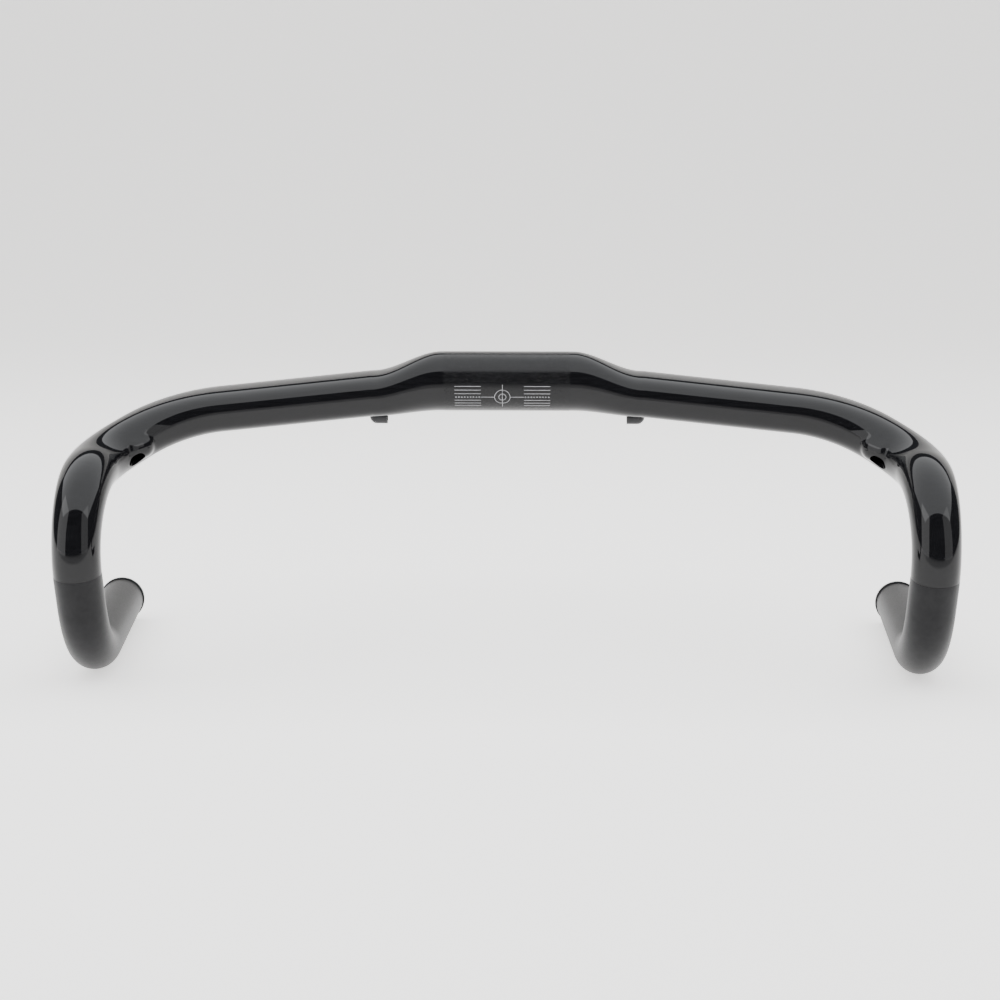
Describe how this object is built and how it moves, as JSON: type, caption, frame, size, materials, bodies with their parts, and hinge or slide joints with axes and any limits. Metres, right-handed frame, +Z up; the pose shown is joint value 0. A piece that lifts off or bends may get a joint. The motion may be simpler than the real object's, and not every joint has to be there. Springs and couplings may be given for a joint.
{
  "type": "drop handlebar",
  "caption": "Carbon drop handlebar with wing-shaped tops, internal cable ports, bonded satin drops and expanding end plugs.",
  "frame": {"origin": "centre of the stem clamp cylinder", "axes": "+X along the bar to the rider's left, -Y forwards, +Z up with the bar standing on its two level drops"},
  "size_m": [0.4734, 0.1496, 0.1625],
  "materials": {
    "gloss_carbon": "gloss",
    "satin_carbon": "satin",
    "bonded_carbon": "matte",
    "guide_nylon": "satin",
    "liner_nylon": "satin",
    "plug_plastic": "satin",
    "zinc_steel": "satin",
    "black_steel": "satin",
    "expander_rubber": "matte",
    "wedge_aluminium": "satin"
  },
  "bodies": {
    "bar": {"centre_section": "gloss_carbon", "left_drop": "satin_carbon", "left_joint_sleeve": "bonded_carbon", "left_exit_guide": "guide_nylon", "left_cable_liner": "liner_nylon", "right_drop": "satin_carbon", "right_joint_sleeve": "bonded_carbon", "right_exit_guide": "guide_nylon", "right_cable_liner": "liner_nylon"},
    "left_plug": {"left_plug_cap": "plug_plastic", "left_plug_washer": "zinc_steel", "left_plug_expander": "expander_rubber"},
    "left_screw": {"left_plug_screw": "black_steel"},
    "left_wedge": {"left_plug_wedge": "wedge_aluminium"},
    "right_plug": {"right_plug_cap": "plug_plastic", "right_plug_washer": "zinc_steel", "right_plug_expander": "expander_rubber"},
    "right_screw": {"right_plug_screw": "black_steel"},
    "right_wedge": {"right_plug_wedge": "wedge_aluminium"}
  },
  "joints": [
    {"name": "left_plug_pull", "type": "slide", "parent": "bar", "child": "left_plug", "axis": [0.1036, 0.9946, 0], "range_m": [0, 0.045]},
    {"name": "left_screw_turn", "type": "hinge", "parent": "left_plug", "child": "left_screw", "pos_m": [0.224, 0.044, -0.134], "axis": [0.1036, 0.9946, 0], "range_deg": [0, 1440]},
    {"name": "left_wedge_travel", "type": "slide", "parent": "left_plug", "child": "left_wedge", "axis": [-0.1036, -0.9946, 0], "range_m": [0, 0.0032]},
    {"name": "right_plug_pull", "type": "slide", "parent": "bar", "child": "right_plug", "axis": [-0.1036, 0.9946, 0], "range_m": [0, 0.045]},
    {"name": "right_screw_turn", "type": "hinge", "parent": "right_plug", "child": "right_screw", "pos_m": [-0.224, 0.044, -0.134], "axis": [-0.1036, 0.9946, 0], "range_deg": [0, 1440]},
    {"name": "right_wedge_travel", "type": "slide", "parent": "right_plug", "child": "right_wedge", "axis": [0.1036, -0.9946, 0], "range_m": [0, 0.0032]}
  ],
  "couplings": [
    {"joint": "left_screw_turn", "follows": "left_wedge_travel", "rad_per_m": 7854},
    {"joint": "right_screw_turn", "follows": "right_wedge_travel", "rad_per_m": 7854}
  ]
}
